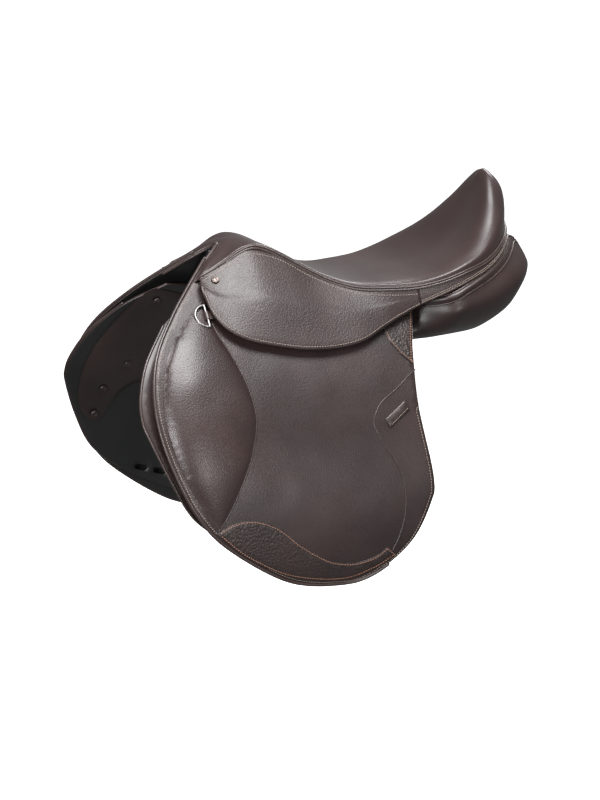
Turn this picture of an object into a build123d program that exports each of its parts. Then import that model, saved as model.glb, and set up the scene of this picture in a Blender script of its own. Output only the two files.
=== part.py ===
"""English jumping saddle, 17.5 inch seat, with forward-cut flaps.

Frame: +X to the rear (cantle), -Y is the rider's left, +Z up. The origin is on the symmetry plane at
the middle of the panels' length, level with the inner edges of their bearing faces. Sizes in mm.
"""
from build123d import *
import math
import os

os.makedirs("parts", exist_ok=True)

# Driving dimensions
LEATHER = 4.0            # flap and sweat flap leather
COVER = 2.5              # seat leather
SEAT_EDGE = 6.5          # depth of the seat's edge above its welt
TREE_INSET = 22.0        # the tree's rails lie this far inside the seat's edge
STRAP = 3.8              # doubled billet leather
STRAP_WIDTH = 25.0
FLAP_BEND_Z = -27.5      # line where a lifted flap bends, square below its hinge axis
SKIRT_BEND_Z = 45.0      # line where a lifted skirt bends
BEND_GAP = 0.5           # half of the gap left at a bend line
PATCH_THICK = 1.2        # grained patches sewn on the flap
KEEPER_THICK = 2.6
TREE_THICK = 6.0
WEB_THICK = 2.5
REACH = 260.0            # how far an outline is carried across each half of the saddle
WIDE = 1000.0            # larger than the saddle, for cutting above or below a height

# Side profile: two tangent arcs in the YZ plane, half width against height
LOW_R, LOW_Y, LOW_Z = 372.0, -161.6, -256.0
JOIN_ANGLE = math.radians(29.6)
TOP_R = 654.0
TOP_Y = LOW_Y + (LOW_R - TOP_R) * math.cos(JOIN_ANGLE)
TOP_Z = LOW_Z + (LOW_R - TOP_R) * math.sin(JOIN_ANGLE)
LOW_ANGLE, TOP_ANGLE = math.radians(-15), math.radians(52.5)

# Layers, as offsets outwards from the flap's outer face
FLAP_OFF = 0.0
ROLL_OFF = 12.0
BILLET_OFF = -6.9
SWEAT_OFF = -13.5
WING_OFF, WING_THICK = SWEAT_OFF - LEATHER, 12.0
SKIRT_OFF, SKIRT_THICK = 14.5, 3.5
BAR_OFF, BAR_THICK = 10.4, 4.0
HEAD_OFF, HEAD_THICK = -7.6, 4.0

# Stirrup bar: its post and bar run between these ends, and the catch turns on a pin near its open end
BAR_FRONT, BAR_REAR, BAR_TAIL = -208.0, -126.0, -112.0
BAR_LOW, BAR_HIGH = 32.0, 44.0
POST_REAR = -196.0
PIN_PLACE = (-119.0, 38.0)
PIN_R, PIN_HOLE_R = 1.8, 2.1
PLATE_OFF, PLATE_THICK = -4.4, 3.1
CATCH_THICK = 1.9
RIVET_R, RIVET_HEIGHT = 2.6, 1.2

# Dee ring and the leather loop that holds it
DEE_OFF, DEE_WIRE, DEE_R = 4.6, 1.9, 16.0
CHAPE_R, CHAPE_BORE_R, CHAPE_WIDTH = 3.6, 2.3, 11.0
TONGUE_LENGTH, TONGUE_THICK = 25.6, 2.8

# Girth billets
HOLE_R, HOLE_STEP, HOLES = 2.2, 20.0, 6
POINT_LENGTH, FIRST_HOLE = 14.0, 30.0

# Outlines seen from the side, as (x, z)
FLAP_FRONT = [(-240, 100), (-280, 68), (-315, 36), (-348, -4), (-364.5, -48), (-366, -95),
              (-353, -148), (-329, -200), (-289, -247)]
FLAP_FOOT = [(-203, -304), (-126, -319.5), (-74, -311), (-21, -272), (9, -220), (14.5, -192), (7, -125),
             (6, -85), (14, -36), (22, -8), (36, 27)]
FLAP_TOP = [(-12, 36), (-60, 38), (-100, 50), (-149, 74), (-190, 88), (-214, 92)]
SWEAT_FRONT = [(-270, 64), (-322, 35), (-360, -8), (-378, -46), (-382, -72), (-378, -93), (-357, -150),
               (-330, -203), (-285, -243)]
SWEAT_FOOT = [(-205, -285), (-126, -299), (-80, -293), (-28, -250), (-6, -200), (-12, -124), (-12, -84),
              (-2, -36), (10, 8)]
WING = [(-293, 60.5), (-330, 3), (-356, -60), (-360, -119), (-337, -159), (-311, -144), (-283, -107),
        (-240, -92), (-224, -30), (-222, 40), (-241, 52)]
STUDS = [(-278, 42), (-294, -65), (-324, -104), (-331, -150)]
SLOTS = [(-256, -245.5), (-227, -255)]
SKIRT_EDGE = [(-260.5, 44), (-245, 20), (-221, 7), (-181, -3.6), (-140, -10.6), (-96, -12), (-58, -7),
              (-23.5, 6), (3, 16), (38, 26)]
SKIRT_UPPER = [(-263, 56), (-262, 70), (-236, 79), (-205, 95), (-176, 97), (-149, 88), (-124, 76),
               (-90, 57), (-66, 46.5)]
POMMEL_FACING = [(-215.5, 111), (-240, 98), (-277, 67), (-262, 72), (-236, 84), (-215.5, 96)]
ROLL_FRONT = [(-300, 20), (-335, -8), (-354, -50), (-355, -95), (-344, -145), (-318, -198)]
ROLL_REAR = [(-301, -221), (-266, -170), (-236, -108), (-231, -84), (-239, -30), (-262, 14)]
TOE_TOP = [(-305, -224), (-260, -214), (-212, -236), (-157, -283), (-105, -300.5), (-51, -283.5)]
TOE_FOOT = [(-41, -287), (-78, -304), (-126, -312), (-200, -297), (-285, -243)]
REAR_PATCH = [(-7, -28), (-4, -32), (10, -47), (13, -36), (15.6, -28)]
CATCH = [(-124.5, 37), (-122.5, 34.4), (-118.5, 33.2), (-100, 33.5), (-98, 38), (-100, 42.5),
         (-118.5, 42.8), (-122.5, 41.6), (-124.5, 39)]
HEAD = [(-228, 112), (-228, 40), (-214, -6), (-194, -6), (-186, 40), (-186, 112)]
BILLET_WEB = [(-155, -32), (-35, -32), (-50, 14), (-140, 30)]
RIVETS = [(-217, 31), (-217, 45), (-200, 29), (-200, 48)]
KEEPER = [(-14, -88), (-9, -98), (-43, -118.5), (-48, -108)]
DEE_TOP, DEE_FOOT = (-267.0, 50.0), (-267.0, 22.0)

# Seat stations: x, half width, height of its edge, height of its centre line, depth on the centre line
SEAT = [(-214, 48, 103, 118, 8), (-196, 48, 114, 121, 10), (-176, 50, 115, 120, 12),
        (-149, 53, 104, 107, 15), (-124, 60, 89, 92, 15), (-100, 70, 75, 80, 16), (-75, 80, 64, 71, 14),
        (-51, 89, 57, 65, 12), (-9, 101, 54, 62, 10), (27, 109, 54, 64, 12), (68, 115, 62, 72, 12),
        (106, 115, 72, 85, 15), (141, 105, 81, 113, 31), (167, 90, 94, 152, 44), (185, 72, 108, 186, 64),
        (200, 48, 116, 180, 58), (210, 22, 121, 166, 44)]

# Panel stations: x and eight (y, z) points round the section, from the inner top corner outwards
PANEL = [
    (-205, [(30, 40), (30, 54), (36, 53), (62, 15), (98, -31), (110, -60), (90, -38), (56, -4)]),
    (-140, [(28, 34), (32, 49), (42, 45), (66, 12), (94, -25), (94, -42), (72, -30), (44, 0)]),
    (-60, [(27, 22), (34, 37), (46, 33), (69, 6), (89, -16), (82, -28), (64, -27), (36, -6)]),
    (20, [(27, 22), (35, 39), (52, 35), (71, 7), (89, -16), (82, -27), (64, -28), (36, -8)]),
    (80, [(27, 26), (38, 50), (84, 46), (113, 28), (106, -6), (84, -26), (60, -28), (36, -10)]),
    (140, [(28, 34), (42, 68), (84, 66), (113, 44), (104, 2), (82, -22), (58, -26), (36, -6)]),
    (190, [(32, 56), (44, 90), (60, 88), (96, 66), (92, 22), (76, -6), (56, -10), (38, 12)]),
    (216, [(36, 62), (44, 99), (58, 98), (80, 70), (78, 36), (64, 14), (52, 12), (40, 34)]),
    (230, [(43, 62), (48, 88), (56, 88), (66, 66), (64, 44), (58, 34), (52, 34), (46, 44)]),
]


def half_width(z, off=0.0):
    """Half width of the side profile at height z, moved outwards by off."""
    join_z = LOW_Z + (LOW_R + off) * math.sin(JOIN_ANGLE)
    if z < join_z:
        return LOW_Y + math.sqrt((LOW_R + off) ** 2 - (z - LOW_Z) ** 2)
    return TOP_Y + math.sqrt((TOP_R + off) ** 2 - (z - TOP_Z) ** 2)


def low_point(angle, off):
    return (LOW_Y + (LOW_R + off) * math.cos(angle), LOW_Z + (LOW_R + off) * math.sin(angle))


def top_point(angle, off):
    return (TOP_Y + (TOP_R + off) * math.cos(angle), TOP_Z + (TOP_R + off) * math.sin(angle))


def side_shell(off, thickness):
    """The whole curved layer whose outer face is off from the flap's outer face, on the +Y side."""
    inner = off - thickness
    mid_low = 0.5 * (LOW_ANGLE + JOIN_ANGLE)
    mid_top = 0.5 * (JOIN_ANGLE + TOP_ANGLE)
    edges = [
        ThreePointArc(low_point(LOW_ANGLE, off), low_point(mid_low, off), low_point(JOIN_ANGLE, off)),
        ThreePointArc(low_point(JOIN_ANGLE, off), top_point(mid_top, off), top_point(TOP_ANGLE, off)),
        Line(top_point(TOP_ANGLE, off), top_point(TOP_ANGLE, inner)),
        ThreePointArc(top_point(TOP_ANGLE, inner), top_point(mid_top, inner), low_point(JOIN_ANGLE, inner)),
        ThreePointArc(low_point(JOIN_ANGLE, inner), low_point(mid_low, inner), low_point(LOW_ANGLE, inner)),
        Line(low_point(LOW_ANGLE, inner), low_point(LOW_ANGLE, off)),
    ]
    face = Plane.YZ * make_face(Wire(edges))
    return extrude(Pos(-400, 0, 0) * face, amount=700)


def prism(*curves):
    """A solid across the saddle's right half from curves that close an outline in (x, z)."""
    face = Plane.XZ * make_face(Wire([edge for curve in curves for edge in curve.edges()]))
    return extrude(Pos(0, 0.5, 0) * face, amount=-REACH)


def block(front, rear, low, high, margin=0.0):
    """A rectangular outline seen from the side, grown by margin."""
    low, high = low - margin, high + margin
    front, rear = front - margin, rear + margin
    return prism(Polyline((front, low), (rear, low), (rear, high), (front, high), close=True))


def above(z):
    return Pos(0, 0, z + 0.5 * WIDE) * Box(2 * WIDE, 2 * WIDE, WIDE)


def below(z):
    return Pos(0, 0, z - 0.5 * WIDE) * Box(2 * WIDE, 2 * WIDE, WIDE)


def sheet(outline, off, thickness):
    return side_shell(off, thickness) & outline


def whole_flap():
    front, foot, top = FLAP_FRONT, FLAP_FOOT, FLAP_TOP
    outline = prism(Spline(*front, *foot), Polyline(foot[-1], *top, front[0]))
    return sheet(outline, FLAP_OFF, LEATHER)


def bar_post():
    """Front end of the stirrup bar, from its plate under the flap out to the bar."""
    outline = block(BAR_FRONT, POST_REAR, BAR_LOW, BAR_HIGH)
    return sheet(outline, BAR_OFF, BAR_OFF - HEAD_OFF - 0.1)


def flap_top():
    post_hole = block(BAR_FRONT, POST_REAR, BAR_LOW, BAR_HIGH, margin=1.0)
    return (whole_flap() & above(FLAP_BEND_Z + BEND_GAP)) - post_hole


def flap():
    return whole_flap() & below(FLAP_BEND_Z - BEND_GAP)


def whole_roll():
    outline = prism(Spline(*ROLL_FRONT), Polyline(ROLL_FRONT[-1], ROLL_REAR[0]), Spline(*ROLL_REAR),
                    Polyline(ROLL_REAR[-1], ROLL_FRONT[0]))
    return sheet(outline, ROLL_OFF, ROLL_OFF)


def knee_roll_top():
    return whole_roll() & above(FLAP_BEND_Z + BEND_GAP)


def knee_roll():
    return whole_roll() & below(FLAP_BEND_Z - BEND_GAP)


def toe_patch():
    outline = prism(Spline(*TOE_TOP), Polyline(TOE_TOP[-1], TOE_FOOT[0]), Spline(*TOE_FOOT),
                    Polyline(TOE_FOOT[-1], TOE_TOP[0]))
    return sheet(outline, PATCH_THICK, PATCH_THICK)


def rear_patch():
    return sheet(prism(Polyline(*REAR_PATCH, close=True)), PATCH_THICK, PATCH_THICK)


def keeper():
    return sheet(prism(Polyline(*KEEPER, close=True)), KEEPER_THICK, KEEPER_THICK)


def skirt_upper():
    """Fixed upper part of the skirt, stitched in under the seat's welt."""
    outline = prism(Spline(*SKIRT_UPPER), Polyline(SKIRT_UPPER[-1], (-261, 46.5), SKIRT_UPPER[0]))
    return sheet(outline, SKIRT_OFF, SKIRT_THICK) & above(SKIRT_BEND_Z + BEND_GAP)


def skirt():
    outline = prism(Spline(*SKIRT_EDGE), Polyline(SKIRT_EDGE[-1], (38, 44), SKIRT_EDGE[0]))
    return sheet(outline, SKIRT_OFF, SKIRT_THICK) & below(SKIRT_BEND_Z - BEND_GAP)


def skirt_nail():
    centre = surface_plane(-243, 70, SKIRT_OFF)
    return centre * Pos(0, 0, 1) * (Cylinder(5.5, 2) + Pos(0, 0, 1) * Cylinder(3.8, 1.2))


def pommel_facing():
    return sheet(prism(Polyline(*POMMEL_FACING, close=True)), 3.8, 3.5)


def sweat_flap():
    top = [(-60, 22), (-130, 40), (-215, 60)]
    outline = prism(Spline(*SWEAT_FRONT, *SWEAT_FOOT), Polyline(SWEAT_FOOT[-1], *top, SWEAT_FRONT[0]))
    body = sheet(outline, SWEAT_OFF, LEATHER)
    for x, z in SLOTS:
        slot = Plane.XZ * Pos(x, z, 0) * SlotOverall(20, 9, rotation=-18)
        body -= extrude(Pos(0, 0.5, 0) * slot, amount=-REACH)
    return body


def panel_wing():
    outline = prism(Spline(*WING[:8]), Polyline(*WING[7:], WING[0]))
    return sheet(outline, WING_OFF, WING_THICK)


def wing_studs():
    studs = Part()
    for x, z in STUDS:
        studs += surface_plane(x, z, WING_OFF - WING_THICK) * Pos(0, 0, -1.0) * Cylinder(5, 1.8)
    return studs


def surface_plane(x, z, off):
    """A plane on the side profile whose normal points outwards, on the +Y side."""
    y = half_width(z, off)
    rise = half_width(z + 0.5, off) - half_width(z - 0.5, off)
    return Plane(origin=(x, y, z), x_dir=(1, 0, 0), z_dir=(0, 1, -rise))


def panel():
    """Flocked panel: one closed section after another along the saddle."""
    sections = []
    for x, points in PANEL:
        outside, inside = Spline(*points[:5]), Spline(*points[4:], points[0])
        sections.append(Pos(x, 0, 0) * (Plane.YZ * make_face(Wire([outside, inside]))))
    return loft(sections, ruled=True)


def seat_height(station, y):
    """Height of the seat's top at y: a crowned curve from the centre line to the edge."""
    _, width, edge, centre, _ = station
    return centre - (centre - edge) * abs(y / width) ** 2.2


def floor_height(station, y):
    """Height of the seat's underside at y."""
    _, width, edge, centre, depth = station
    middle = centre - depth
    return middle + (edge - SEAT_EDGE - middle) * (y / width) ** 2


def seat_section(station, inset, drop=0.0):
    x, width, *_ = station
    half = width - inset
    ys = [half * k / 4 for k in range(-4, 5)]
    top = [(y, seat_height(station, y) - inset) for y in ys]
    floor = [(y, floor_height(station, y) - drop) for y in (half, 0, -half)]
    walls = [Line(top[-1], floor[0]), Line(floor[-1], top[0])]
    curves = [Spline(*top), walls[0], ThreePointArc(*floor), walls[1]]
    face = make_face(Wire([edge for curve in curves for edge in curve.edges()]))
    return Pos(x, 0, 0) * (Plane.YZ * face)


def seat_solid(inset, drop=0.0):
    whole = loft([seat_section(station, inset, drop) for station in SEAT], ruled=True)
    return whole & (Pos(0, 0, 100) * Box(420 - 2 * inset, 400, 400))


def seat_foam():
    return seat_solid(COVER)


def seat_cover():
    return seat_solid(0.0) - seat_solid(COVER, 5.0)


def tree_section(station, thickness):
    """A plate that follows the seat's underside, a little below it."""
    x, width, *_ = station
    half = width - TREE_INSET
    top = [(y, floor_height(station, y) - 0.8) for y in (half, 0, -half)]
    foot = [(y, z - thickness) for y, z in top]
    sides = [Line(top[-1], foot[-1]), Line(foot[0], top[0])]
    curves = [ThreePointArc(*top), sides[0], ThreePointArc(*foot[::-1]), sides[1]]
    face = make_face(Wire([edge for curve in curves for edge in curve.edges()]))
    return Pos(x, 0, 0) * (Plane.YZ * face)


TREE_STATIONS = [station for station in SEAT if -180 < station[0] < 190]


def tree():
    """Laminated spring tree: two rails that join at the head and the cantle."""
    body = loft([tree_section(station, TREE_THICK) for station in TREE_STATIONS], ruled=True)
    opening = Pos(-10, 0, 60) * Box(250, 56, 300)
    return body - fillet(opening.edges().filter_by(Axis.Z), 5)


def seat_webbing():
    """Webbing strained lengthwise across the tree's opening."""
    band = loft([tree_section(station, WEB_THICK) for station in TREE_STATIONS], ruled=True)
    return band & (Pos(-10, 0, 60) * Box(249, 44, 300))


def head_plate():
    """Steel arch riveted across the head of the tree, with its points."""
    half = sheet(prism(Polyline(*HEAD, close=True)), HEAD_OFF, HEAD_THICK)
    return half + mirror(half, about=Plane.XZ) + Pos(-207, 0, 105) * Box(42, 5, 3.6)


def stirrup_bar():
    """Open-ended bar that stands off the flap on a post; its thinner tail carries the catch's pin."""
    plate = sheet(block(-222, -190, 26, 50), PLATE_OFF, PLATE_THICK)
    bar = sheet(block(BAR_FRONT, BAR_REAR, BAR_LOW, BAR_HIGH), BAR_OFF, BAR_THICK)
    tail = sheet(block(BAR_REAR - 0.5, BAR_TAIL, BAR_LOW, BAR_HIGH), BAR_OFF - 2.2, 1.8)
    pin = surface_plane(*PIN_PLACE, BAR_OFF) * Pos(0, 0, -1.5) * Cylinder(PIN_R, 3.0)
    return plate + bar_post() + bar + tail + pin


def bar_catch():
    """Thumb catch on the open rear end of the stirrup bar."""
    hole = surface_plane(*PIN_PLACE, BAR_OFF) * Cylinder(PIN_HOLE_R, 8)
    return sheet(prism(Polyline(*CATCH, close=True)), BAR_OFF, CATCH_THICK) - hole


def bar_rivets():
    rivets = Part()
    for x, z in RIVETS:
        seat_of_rivet = surface_plane(x, z, HEAD_OFF - HEAD_THICK)
        rivets += seat_of_rivet * Pos(0, 0, -0.7) * Cylinder(RIVET_R, RIVET_HEIGHT)
    return rivets


def dee_frame():
    """Plane at the middle of the dee's bar: x along the bar, downwards, z outwards."""
    z = 0.5 * (DEE_TOP[1] + DEE_FOOT[1])
    top, foot = half_width(DEE_TOP[1], DEE_OFF), half_width(DEE_FOOT[1], DEE_OFF)
    along = Vector(0, foot - top, DEE_FOOT[1] - DEE_TOP[1]).normalized()
    outwards = Vector(0, -along.Z, along.Y)
    return Plane(origin=(DEE_TOP[0], half_width(z, DEE_OFF), z), x_dir=along, z_dir=outwards)


def dee_ring():
    bow = revolve(Plane.XZ * Pos(DEE_R, 0) * Circle(DEE_WIRE), Axis.Z, 180)
    bar = Rot(0, 90, 0) * Cylinder(DEE_WIRE, 2 * DEE_R)
    corners = Pos(DEE_R, 0, 0) * Sphere(DEE_WIRE) + Pos(-DEE_R, 0, 0) * Sphere(DEE_WIRE)
    ring = bow + bar + corners
    if ring.bounding_box().center().Y < 0:
        ring = Rot(0, 0, 180) * ring
    placed = dee_frame() * ring
    if placed.bounding_box().center().X > DEE_TOP[0]:
        placed = dee_frame() * Rot(0, 0, 180) * ring
    return placed


def dee_chape():
    """Leather loop that holds the dee's bar, stitched in under the skirt."""
    loop = Rot(0, 90, 0) * (Cylinder(CHAPE_R, CHAPE_WIDTH) - Cylinder(CHAPE_BORE_R, CHAPE_WIDTH + 1))
    centre = dee_frame().origin
    behind = dee_frame().to_local_coords(Vector(centre.X + DEE_R, centre.Y, centre.Z))
    side = 1 if behind.Y > 0 else -1
    reach = side * (CHAPE_BORE_R + 0.9 + 0.5 * TONGUE_LENGTH)
    tongue = Pos(0, reach, 0.4) * Box(CHAPE_WIDTH, TONGUE_LENGTH, TONGUE_THICK)
    return dee_frame() * (loop + tongue)


BILLET_X = {"front": -140.0, "middle": -95.0, "rear": -50.0}
BILLET_TOP_Z, BILLET_END_Z = -35.0, -288.0


def billet(x):
    half = 0.5 * STRAP_WIDTH
    shoulder = BILLET_END_Z + POINT_LENGTH
    point = [(x - half, shoulder), (x, BILLET_END_Z), (x + half, shoulder)]
    outline = prism(Polyline((x - half, BILLET_TOP_Z), *point, (x + half, BILLET_TOP_Z), close=True))
    strap = sheet(outline, BILLET_OFF, STRAP)
    for step in range(HOLES):
        z = BILLET_END_Z + FIRST_HOLE + HOLE_STEP * step
        strap -= surface_plane(x, z, BILLET_OFF) * Cylinder(HOLE_R, 20)
    return strap


def billet_web():
    """Webbing sewn over the tree, from which the billets hang."""
    return sheet(prism(Polyline(*BILLET_WEB, close=True)), BILLET_OFF, STRAP)


def cantle_skirt():
    """Leather strip under the seat's welt, round the back of the cantle."""
    path = [(40, 113, 50), (68, 118, 56), (106, 118, 66), (143, 108, 75), (169, 93, 88), (189, 74, 102),
            (204, 50, 110), (213, 24, 114)]
    path = path + [(215, 0, 115)] + [(x, -y, z) for x, y, z in path[::-1]]
    sections = []
    for before, here, after in zip([path[0]] + path[:-1], path, path[1:] + [path[-1]]):
        along = Vector(after[0] - before[0], after[1] - before[1], 0).normalized()
        plane = Plane(origin=here, x_dir=(along.Y, -along.X, 0), z_dir=along)
        sections.append(plane * Rectangle(3.0, 13.0))
    return loft(sections, ruled=True)


PAIRS = {
    "pommel_facing": pommel_facing, "skirt_upper": skirt_upper, "skirt": skirt, "skirt_nail": skirt_nail,
    "flap_top": flap_top, "flap": flap, "toe_patch": toe_patch, "rear_patch": rear_patch,
    "keeper": keeper, "knee_roll_top": knee_roll_top, "knee_roll": knee_roll,
    "sweat_flap": sweat_flap, "panel_wing": panel_wing, "wing_studs": wing_studs, "panel": panel,
    "stirrup_bar": stirrup_bar, "bar_catch": bar_catch, "bar_rivets": bar_rivets,
    "dee_ring": dee_ring, "dee_chape": dee_chape, "billet_web": billet_web,
}
SINGLES = {
    "tree": tree, "seat_webbing": seat_webbing, "head_plate": head_plate, "seat_foam": seat_foam,
    "seat_cover": seat_cover, "cantle_skirt": cantle_skirt,
}

for name, make in SINGLES.items():
    export_step(make(), f"parts/{name}.step")

for name, make in PAIRS.items():
    right = make()
    export_step(right, f"parts/{name}_right.step")
    export_step(mirror(right, about=Plane.XZ), f"parts/{name}_left.step")

for place, x in BILLET_X.items():
    right = billet(x)
    export_step(right, f"parts/billet_{place}_right.step")
    export_step(mirror(right, about=Plane.XZ), f"parts/billet_{place}_left.step")
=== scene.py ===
import math
import bmesh
import bpy
import numpy as np
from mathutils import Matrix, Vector, noise
from mathutils.geometry import delaunay_2d_cdt


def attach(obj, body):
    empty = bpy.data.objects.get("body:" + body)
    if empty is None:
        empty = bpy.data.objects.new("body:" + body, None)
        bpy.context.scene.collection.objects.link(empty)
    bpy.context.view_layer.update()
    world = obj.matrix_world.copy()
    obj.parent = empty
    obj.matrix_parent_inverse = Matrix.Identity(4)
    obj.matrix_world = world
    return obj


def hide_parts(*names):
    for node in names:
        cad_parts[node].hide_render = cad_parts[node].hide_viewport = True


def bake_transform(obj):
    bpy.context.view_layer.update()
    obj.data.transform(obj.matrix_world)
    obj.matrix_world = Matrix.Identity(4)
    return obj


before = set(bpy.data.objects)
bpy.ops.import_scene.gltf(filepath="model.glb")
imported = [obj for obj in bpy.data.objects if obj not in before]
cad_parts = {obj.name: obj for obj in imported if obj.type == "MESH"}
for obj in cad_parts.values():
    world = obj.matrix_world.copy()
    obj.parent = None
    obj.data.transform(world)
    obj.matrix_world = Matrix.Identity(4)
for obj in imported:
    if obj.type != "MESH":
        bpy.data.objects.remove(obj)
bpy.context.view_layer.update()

MM = 0.001
MEMBRANE_PASSES = 1400
SIDES = (("left", -1.0), ("right", 1.0))

# --- Side profile: two tangent arcs, half width against height (mm), as in the CAD model ----------
LOW_R, LOW_Y, LOW_Z = 372.0, -161.6, -256.0
JOIN = math.radians(29.6)
TOP_R = 654.0
TOP_Y = LOW_Y + (LOW_R - TOP_R) * math.cos(JOIN)
TOP_Z = LOW_Z + (LOW_R - TOP_R) * math.sin(JOIN)

# Layer offsets from the flap's outer face
LEATHER = 4.0
SWEAT_OFF = -13.5
WING_BASE = -17.7

# Outlines in the side view, (x, z)
FLAP_FRONT = [(-240, 100), (-280, 68), (-315, 36), (-348, -4), (-364.5, -48), (-366, -95),
              (-353, -148), (-329, -200), (-289, -247)]
FLAP_FOOT = [(-203, -304), (-126, -319.5), (-74, -311), (-21, -272), (9, -220), (14.5, -192), (7, -125),
             (6, -85), (14, -36), (22, -8), (36, 27)]
FLAP_TOP = [(30, 34), (-12, 36), (-60, 38), (-100, 50), (-149, 74), (-190, 90), (-214, 100), (-228, 106)]
SWEAT_FRONT = [(-270, 64), (-322, 35), (-360, -8), (-378, -46), (-382, -72), (-378, -93), (-357, -150),
               (-330, -203), (-285, -243)]
SWEAT_FOOT = [(-205, -285), (-126, -299), (-80, -293), (-28, -250), (-6, -200), (-12, -124), (-12, -84),
              (-2, -36), (6, 4)]
SWEAT_TOP = [(-60, 20), (-130, 38), (-215, 58)]
SWEAT_SLOTS = [(-256, -245.5), (-227, -255)]
WING = [(-291, 59), (-314, 31), (-331, 3), (-347, -29), (-356, -60), (-360, -93), (-359, -119),
        (-351, -143), (-337, -158), (-322, -158), (-311, -143), (-299, -121), (-283, -107), (-262, -101),
        (-236, -90), (-226, -50), (-222, 0), (-224, 38), (-250, 49), (-270, 56)]
WING_STUDS = [(-278, 43), (-294, -65), (-324, -104), (-333, -146)]
ROLL_FRONT = [(-266, 52), (-285, 40), (-312, 18), (-335, -8), (-350, -42), (-356, -75), (-352, -115),
              (-340, -155), (-322, -190), (-303, -220)]
ROLL_REAR = [(-301, -222), (-284, -199), (-266, -170), (-248, -137), (-236, -107), (-231, -83), (-233, -56),
             (-240, -29), (-249, -6), (-258, 14), (-263, 33), (-266, 50)]
ROLL_SPINE = [(-276, 30), (-296, -10), (-302, -60), (-300, -110), (-298, -170)]
TOE_TOP = [(-305, -226), (-285, -217), (-260, -213.5), (-236, -219), (-212, -232), (-187, -254), (-157, -275),
           (-135, -286), (-105, -291), (-76, -286), (-58, -274.5)]
TOE_FOOT = [(-44, -287.5), (-78, -304), (-126, -313), (-200, -298), (-260, -265), (-292, -238)]
REAR_SEAM = [(12, -51), (-4, -60), (-21, -71), (-47, -85), (-61, -100), (-65, -112), (-58, -134), (-45, -155),
             (-34, -180), (-30, -207), (-32, -234), (-40, -261), (-51, -283)]
REAR_PATCH = [(-23, 24), (-22, 5), (-16, -16), (-4, -32), (10, -45), (12, -36), (20, -8), (33, 24)]
KEEPER = [(-15, -87), (-10, -98.5), (-43, -118.5), (-49, -107.5)]

# Seat rows from the front edge to the cantle: welt, wall top, rim and centre line, each (x, y, z)
SEAT_ROWS = [
    ((-272, 50, 70), (-262, 41, 78), (-245, 26, 92), (-215, 0, 113)),
    ((-262, 52, 80), (-253, 44, 88), (-235, 27, 101), (-208, 0, 117)),
    ((-248, 51, 86), (-242, 46, 92), (-222, 27, 109), (-201, 0, 119)),
    ((-225, 49, 97), (-221, 46, 103), (-208, 29, 113), (-193, 0, 120)),
    ((-205, 48.5, 109), (-203, 46, 114), (-195, 30, 118), (-184, 0, 120)),
    ((-186, 49, 116), (-185, 46, 118.5), (-180, 30, 119.5), (-174, 0, 118.5)),
    ((-165, 50, 112), (-164, 47, 114.5), (-162, 32, 114.5), (-160, 0, 113)),
    ((-140, 55, 99), (-139, 52, 102), (-139, 36, 102.5), (-138, 0, 101)),
    ((-112, 65, 82), (-112, 62, 86), (-112, 45, 86), (-112, 0, 85)),
    ((-80, 78, 65.5), (-80, 75, 70), (-81, 56, 71), (-82, 0, 71)),
    ((-45, 91, 55.5), (-45, 88, 60), (-47, 67, 62), (-49, 0, 62)),
    ((-5, 101.5, 53.5), (-5, 98, 58.5), (-8, 76, 60.5), (-10, 0, 59)),
    ((35, 110, 54.5), (35, 107, 60), (32, 82, 63), (28, 0, 61)),
    ((72, 115, 61), (72, 112, 68), (68, 85, 71), (62, 0, 66)),
    ((106, 115, 71), (106, 111, 80), (100, 82, 85), (93, 0, 76)),
    ((138, 107, 80), (136, 103, 93), (127, 76, 101), (118, 0, 89)),
    ((165, 92, 92), (161, 87, 111), (148, 64, 120), (139, 0, 106)),
    ((186, 72, 104), (182, 68, 131), (167, 49, 144), (156, 0, 127)),
    ((201, 48, 113), (199, 45, 149), (181, 32, 168), (169, 0, 150)),
    ((210, 24, 118), (209, 23, 161), (190, 17, 183), (178, 0, 172)),
    ((213, 0, 120), (213, 0, 165), (194, 0, 188), (182, 0, 183)),
]
SEAT_FACTOR = 6             # fine rows for each of these
SEAT_STEPS = (5, 9, 12)     # points from welt to wall top, rim and centre line
SEAT_DEPTHS = ([0, 30, 60, 90], [5, 8, 11, 22])     # fine rows, and the depth of the padding there
CANTLE_DEPTH = 40
# Skirt columns from the nail to the back of the cantle: top under the welt, lower edge
SKIRT_COLUMNS = [
    ((-262, 53, 79), (-263, 70, 72)), ((-257, 52.5, 82), (-264, 86, 56)),
    ((-249, 52, 86), (-260, 101, 38.7)), ((-236, 50.5, 92), (-245, 116, 20)),
    ((-218, 49.5, 101), (-221, 127, 7)), ((-190, 50, 113), (-181, 134, -3.6)),
    ((-150, 54, 103), (-140, 139, -10.6)), ((-112, 66, 80), (-96, 140, -12)),
    ((-78, 80, 63), (-58, 137, -6.8)), ((-45, 92, 53.5), (-23.5, 127, 6)),
    ((-5, 103, 51.5), (3, 120, 15.7)), ((35, 111.5, 52.5), (38, 115, 28)),
    ((72, 116.5, 59), (73, 119, 41)), ((106, 116.5, 69), (107, 119, 54)),
    ((138, 108.5, 78), (140, 111, 66)), ((166, 93.5, 90), (168, 95, 79)),
    ((187.5, 73, 102), (189, 74, 92)), ((202.5, 49, 111), (204, 50, 101)),
    ((211, 24.5, 116), (213, 25, 106)), ((214, 0, 118), (216, 0, 108)),
]
SKIRT_LAST_MOVING = 11      # columns after this one stay with the cantle
SKIRT_FACTOR = 8            # fine columns for each of these
SKIRT_STEPS = 25            # points down each fine column
SKIRT_THICK = 3.5
NAIL_COLUMN = 21            # fine column that the nail sits on
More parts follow.
